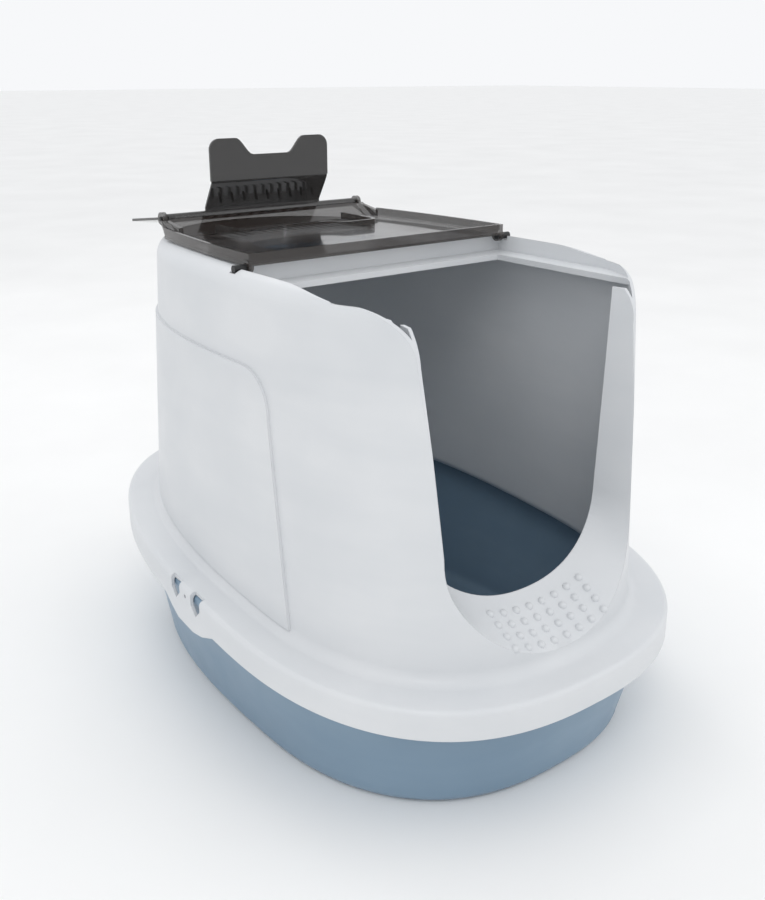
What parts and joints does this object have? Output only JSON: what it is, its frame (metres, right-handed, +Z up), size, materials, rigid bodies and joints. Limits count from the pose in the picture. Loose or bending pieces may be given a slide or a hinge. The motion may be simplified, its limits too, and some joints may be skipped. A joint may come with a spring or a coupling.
{
  "type": "cat litter box with hood",
  "caption": "Hooded cat litter box: egg-shaped tray, clip-on hood, fold-back clear lid with a swing flap, vent filter and carry handle.",
  "frame": {"origin": "middle of the tray's flat underside", "axes": "+Z up, -Y is the way the mouth faces, +X is to the right for someone who looks at the mouth; mirror-symmetric about X = 0"},
  "size_m": [0.3896, 0.5594, 0.468],
  "materials": {
    "hood": "satin moulded polypropylene",
    "tray": "satin moulded polypropylene",
    "handle": "satin moulded polypropylene",
    "smoked": "polished smoked polystyrene",
    "pins": "black acetal",
    "carbon": "carbon-loaded fleece"
  },
  "bodies": {
    "tray": {"litter_tray": "tray"},
    "hood": {"hood_shell": "hood", "handle_pin_left": "pins", "handle_pin_right": "pins", "filter_pad": "carbon", "filter_cover": "hood"},
    "lid": {"lid_panel": "smoked", "lid_pin_left": "pins", "lid_pin_right": "pins", "flap_pin_left": "pins", "flap_pin_right": "pins"},
    "flap": {"swing_flap": "smoked"},
    "handle": {"carry_handle": "handle"}
  },
  "joints": [
    {"name": "hood_lift", "type": "slide", "parent": "tray", "child": "hood", "axis": [0, 0, 1], "range_m": [0, 0.2]},
    {"name": "lid_hinge", "type": "hinge", "parent": "hood", "child": "lid", "pos_m": [0, -0.022, 0.3845], "axis": [1, 0, 0], "range_deg": [0, 180]},
    {"name": "flap_hinge", "type": "hinge", "parent": "lid", "child": "flap", "pos_m": [0, 0.162, 0.4], "axis": [1, 0, 0], "range_deg": [0, 90]},
    {"name": "handle_hinge", "type": "hinge", "parent": "hood", "child": "handle", "pos_m": [0, 0.034, 0.375], "axis": [1, 0, 0], "range_deg": [0, 6.5]}
  ]
}
